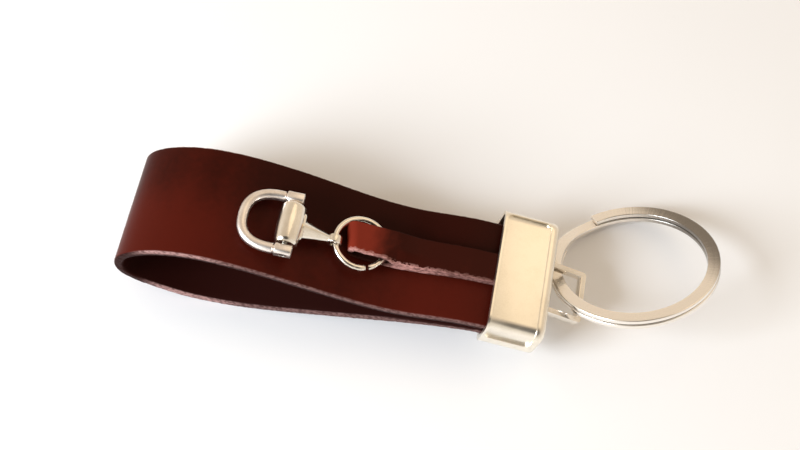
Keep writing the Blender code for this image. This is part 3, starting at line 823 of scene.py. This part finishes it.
def ground_nickel(name, colour, shaded_colour, gloss, placing):
    """Plated wire with fine grinding lines along it, faint strokes across, and painted shade darkening one side.
    """
    made, shader, place = new_material(name, colour, gloss, 1.0)
    back = placing.inverted()
    flat = place.node("Mapping", {}, {"Vector": place, "Rotation": back.to_euler(),
                                      "Location": back.translation})
    x, y, z = flat.parts()
    radius = x.maths("SQRT", x * x + y * y)
    lines = x.node("CombineXYZ", {}, {"X": radius * LINES_ACROSS, "Y": z * LINES_DOWN})
    lines = lines.node("TexNoise", {}, {"Vector": lines, "Scale": 1.0, "Detail": 3.0})
    outwards = flat.node("VectorMath", {"operation": "NORMALIZE"},
                         {0: flat.node("CombineXYZ", {}, {"X": x, "Y": y})})
    strokes = outwards.node("TexNoise", {}, {"Vector": outwards, "Scale": 90.0, "Detail": 2.0})
    # Painted shade: the base colour darkens towards one side of the ring.
    towards_shade = SHADED_SIDE[0] * x + SHADED_SIDE[1] * y
    painted_shade = (towards_shade + 2.5 * MM * (strokes - 0.5)).between(5 * MM, 17.5 * MM)
    tone = painted_shade + 0.25 * (lines - 0.5) + 0.2 * (strokes - 0.5)
    tone.between(0.0, 1.0).colour(colour, shaded_colour).into(shader, "Base Color")
    (gloss - 0.04 + 0.08 * lines + 0.06 * strokes).into(shader, "Roughness")
    lines.bump(LINE_DEPTH, 0.25).into(shader, "Normal")
    return made


ring_nickel = ground_nickel("ring_nickel", (0.95, 0.9, 0.84), (0.24, 0.22, 0.2), 0.2, ring_place)
dress(ring, ring_nickel, "key_ring", "key_ring", 45)


# --- Jump ring ------------------------------------------------------------------------------------
# A link of round wire, bent oval and closed by pliers, which left small marks beside its gap. It passes
# through the tab's fold and the eye of the bit.

JUMP_WIRE = 0.66 * MM  # the wire's radius
JUMP_HALF_X = 5.4 * MM
JUMP_HALF_Y = 5.4 * MM
JUMP_X = -27.0 * MM
JUMP_LEVEL = 2.3 * MM
JUMP_GAP_AT = math.radians(-66)
JUMP_GAP = math.radians(3.5)
JUMP_SIDES = 20
JUMP_STEPS = 150
JUMP_MARKS = ((9, 0.06 * MM), (15, 0.05 * MM))  # steps from each end, and how deep the pliers bit
JUMP_MARK_STEPS = 1.6
jump_right = joint_at["jump_ring_swing"]
jump_left = above_strap(JUMP_X - JUMP_HALF_X, JUMP_LEVEL)
jump_slope = math.atan2(jump_left[1] - jump_right.z, jump_right.x - MOUTH.x - jump_left[0])
jump_middle = jump_right - JUMP_HALF_X * Vector((math.cos(jump_slope), 0, -math.sin(jump_slope)))
jump_angles = np.linspace(JUMP_GAP_AT + JUMP_GAP, JUMP_GAP_AT - JUMP_GAP + 2 * math.pi, JUMP_STEPS)


def jump_point(i, j):
    """A point of the wire, which narrows at the pliers' marks and at its snipped ends."""
    angle = jump_angles[i]
    turn = 2 * math.pi * j / JUMP_SIDES
    end = min(i, JUMP_STEPS - 1 - i)
    mark = sum(depth * math.exp(-((end - step) / JUMP_MARK_STEPS) ** 2) for step, depth in JUMP_MARKS)
    snip = 1 - 0.2 * math.exp(-end / 1.2)
    wire = (JUMP_WIRE - mark) * snip
    out = Vector((math.cos(angle) / JUMP_HALF_X, math.sin(angle) / JUMP_HALF_Y, 0)).normalized()
    middle_of_wire = Vector((JUMP_HALF_X * math.cos(angle), JUMP_HALF_Y * math.sin(angle), 0))
    return middle_of_wire + out * wire * math.cos(turn) + Vector((0, 0, wire * math.sin(turn)))


jump = sleeve("oval_jump_ring", JUMP_STEPS, JUMP_SIDES, jump_point)
jump.data.transform(Matrix.Translation(jump_middle) @ Matrix.Rotation(jump_slope, 4, "Y"))
dress(jump, bright_nickel, "jump_ring", "jump_ring", 50)


# --- Bit: mouthpiece ------------------------------------------------------------------------------
# A small casting: a swelling barrel that turns on the pin, a collar, and a ridged cannon that tapers to
# an eye round the jump ring.

BARREL_RADIUS = 2.5 * MM
BARREL_LENGTH = 9.0 * MM
BARREL_SIDES = 48
BARREL_STEPS = 33
BARREL_SWELL = 0.13  # the share of its radius that the barrel loses from its middle to its ends
BARREL_LIP = 0.16  # the share of its half length, and of its radius, that rounds off each end
BARREL_FRONT = 1.2  # how much wider it is on the cannon's side
PIN_BORE = 0.68 * MM
COLLAR_FROM = (1.0 * MM, -3.1 * MM, -1.5 * MM)
COLLAR_TO = (3.0 * MM, 3.1 * MM, 1.5 * MM)
COLLAR_CORNER = 1.0 * MM
COLLAR_ROUND = 0.5 * MM
CANNON_SIDES = 32
CANNON_STEPS = 14
CANNON_FROM = 2.4 * MM
CANNON_SHORT = 3.3 * MM  # how much shorter it is than the run from the pin to the eye
CANNON_WIDTH = (2.3, 1.55)  # half its width at the collar, and what it loses by the eye, millimetres
CANNON_HEIGHT = (1.75, 0.85)
CANNON_FLARE = 0.8  # 1 tapers evenly, and less narrows sooner
CANNON_RIDGE = 1.5  # 1 is round, and more is sharper along the ridges
EYE_RADIUS = 1.55 * MM
EYE_LENGTH = 1.9 * MM
EYE_ROUND = 0.3 * MM
EYE_BORE = 0.9 * MM
EYE_DRILL = 8 * MM
BIT_EDGE = 0.12 * MM
pin = joint_at["d_ring_swing"]
eye_at = joint_at["mouthpiece_swing"]
bit_run = (eye_at - pin).length
bit_slope = math.atan2(pin.z - eye_at.z, eye_at.x - pin.x)
bit_place = Matrix.Translation(pin) @ Matrix.Rotation(bit_slope, 4, "Y")

half = BARREL_LENGTH / 2
barrel_profile = [(PIN_BORE / 2, -half)]
for step in np.linspace(-1, 1, BARREL_STEPS):
    lip = 1 - BARREL_LIP * max(0.0, (abs(step) - (1 - BARREL_LIP)) / BARREL_LIP) ** 2
    barrel_profile.append((BARREL_RADIUS * (1 - BARREL_SWELL * step * step) * lip, half * step))
barrel_profile.append((PIN_BORE / 2, half))


def barrel_point(i, j):
    """A point of the barrel, which lies along Y and is wider towards the cannon."""
    radius, y = barrel_profile[i]
    turn = 2 * math.pi * j / BARREL_SIDES
    in_front = j < BARREL_SIDES / 4 or j > 3 * BARREL_SIDES / 4
    ahead = BARREL_FRONT if in_front else 1.0
    return Vector((radius * ahead * math.cos(turn), y, radius * math.sin(turn)))


def cannon_point(i, j):
    """A point of the cannon, a four-sided taper with soft ridges, from the collar to the eye."""
    along = i / CANNON_STEPS
    turn = 2 * math.pi * j / CANNON_SIDES
    half_width = (CANNON_WIDTH[0] - CANNON_WIDTH[1] * along ** CANNON_FLARE) * MM
    half_height = (CANNON_HEIGHT[0] - CANNON_HEIGHT[1] * along) * MM
    y, z = (math.copysign(abs(part) ** CANNON_RIDGE, part) for part in (math.cos(turn), math.sin(turn)))
    return Vector((CANNON_FROM + along * (bit_run - CANNON_SHORT), half_width * y, half_height * z))


barrel = sleeve("bit_casting", len(barrel_profile), BARREL_SIDES, barrel_point)
carve(barrel, rod(32, PIN_BORE, 2 * BARREL_LENGTH, turn=SIDEWAYS))
collar = block("collar", COLLAR_FROM, COLLAR_TO)
soften(collar, "edges", lambda m, d: abs(d.x) > 0.9, COLLAR_CORNER, 5)
soften(collar, "faces", lambda m, n: n.x > 0.9, COLLAR_ROUND, 3)
carve(barrel, collar, "UNION")
carve(barrel, sleeve("cannon", CANNON_STEPS + 1, CANNON_SIDES, cannon_point), "UNION")
eye = rod(40, EYE_RADIUS, EYE_LENGTH, (bit_run, 0, 0), SIDEWAYS)
bpy.ops.object.transform_apply(location=True, rotation=True, scale=True)
soften(eye, "faces", lambda m, n: abs(n.y) > 0.9, EYE_ROUND, 3)
carve(barrel, eye, "UNION")
carve(barrel, rod(32, EYE_BORE, EYE_DRILL, (bit_run, 0, 0), SIDEWAYS))
round_edges(barrel, BIT_EDGE, 2, 42)
barrel.data.transform(bit_place)
dress(barrel, bright_nickel, "mouthpiece", "bit_mouthpiece", 40)


# --- Bit: D-ring ----------------------------------------------------------------------------------
# A D of round bar, a little flattened above and below. Its arms end in two blocks, each set off by a
# fine groove, and the pin goes through both.

D_BAR = 1.05 * MM
D_HALF_WIDTH = 5.95 * MM
D_STRAIGHT = 2.6 * MM
D_BOW = 6.9 * MM
D_FOOT = 1.5 * MM
D_SQUARENESS = 0.8  # 1 is an ellipse, and less is squarer
D_FLATNESS = 0.85  # 1 is round bar, and less is flatter above and below
D_SIDES = 24
D_BOW_STEPS = 91
D_ARM_STEP = 0.06 * MM
D_ARM_INSIDE = 0.5 * MM  # where each arm begins, inside its block
D_GROOVE_AT = 0.14 * MM  # from the block's end
D_GROOVE_WIDTH = 0.16 * MM
D_GROOVE_DEPTH = 0.3  # the share of the bar's thickness that it takes
D_EDGE = 0.1 * MM
PIN_X = -41.6 * MM
KNUCKLE = Vector((3.6, 2.3, 2.6)) * MM
KNUCKLE_CORNER = 0.8 * MM
KNUCKLE_ROUND = 0.28 * MM
d_far = above_strap(PIN_X - D_STRAIGHT - D_BOW, D_FOOT)
d_slope = math.atan2(d_far[1] - pin.z, pin.x - MOUTH.x - d_far[0])
d_place = Matrix.Translation(pin) @ Matrix.Rotation(d_slope, 4, "Y")

bow = [(-D_STRAIGHT - D_BOW * math.sin(a) ** D_SQUARENESS,
        D_HALF_WIDTH * math.copysign(abs(math.cos(a)) ** D_SQUARENESS, math.cos(a)))
       for a in np.linspace(0, math.pi, D_BOW_STEPS)]
arm = np.arange(D_ARM_INSIDE, D_STRAIGHT, D_ARM_STEP)
d_path = np.array([(-x, D_HALF_WIDTH) for x in arm] + bow + [(-x, -D_HALF_WIDTH) for x in arm[::-1]])
d_out = -unit_normals(d_path)


def d_point(i, j):
    """A point of the bar, with a groove round each arm before its block."""
    turn = 2 * math.pi * j / D_SIDES
    sideways, up = math.cos(turn), math.sin(turn)
    from_groove = (-d_path[i][0] - KNUCKLE.x / 2 - D_GROOVE_AT) / D_GROOVE_WIDTH
    bar = D_BAR * (1 - D_GROOVE_DEPTH * math.exp(-from_groove ** 2))
    x, y = d_path[i] + d_out[i] * bar * sideways
    return Vector((x, y, bar * math.copysign(abs(up) ** D_FLATNESS, up)))


d_ring = sleeve("bit_d", len(d_path), D_SIDES, d_point)
for side in (-1, 1):
    knuckle = block("knuckle", (-KNUCKLE.x / 2, side * D_HALF_WIDTH - KNUCKLE.y / 2, -KNUCKLE.z / 2),
                    (KNUCKLE.x / 2, side * D_HALF_WIDTH + KNUCKLE.y / 2, KNUCKLE.z / 2))
    soften(knuckle, "edges", lambda m, d: abs(d.x) > 0.9, KNUCKLE_CORNER, 5)
    soften(knuckle, "faces", lambda m, n: abs(n.x) > 0.9, KNUCKLE_ROUND, 3)
    carve(d_ring, knuckle, "UNION")
carve(d_ring, rod(32, PIN_BORE, 4 * D_HALF_WIDTH, turn=SIDEWAYS))
round_edges(d_ring, D_EDGE, 2, 45)
d_ring.data.transform(d_place)
tumbled_nickel = nickel("tumbled_nickel", (0.95, 0.88, 0.83), (0.78, 0.7, 0.64), 0.32, 0.14)
dress(d_ring, tumbled_nickel, "d_ring", "bit_d_ring", 45)
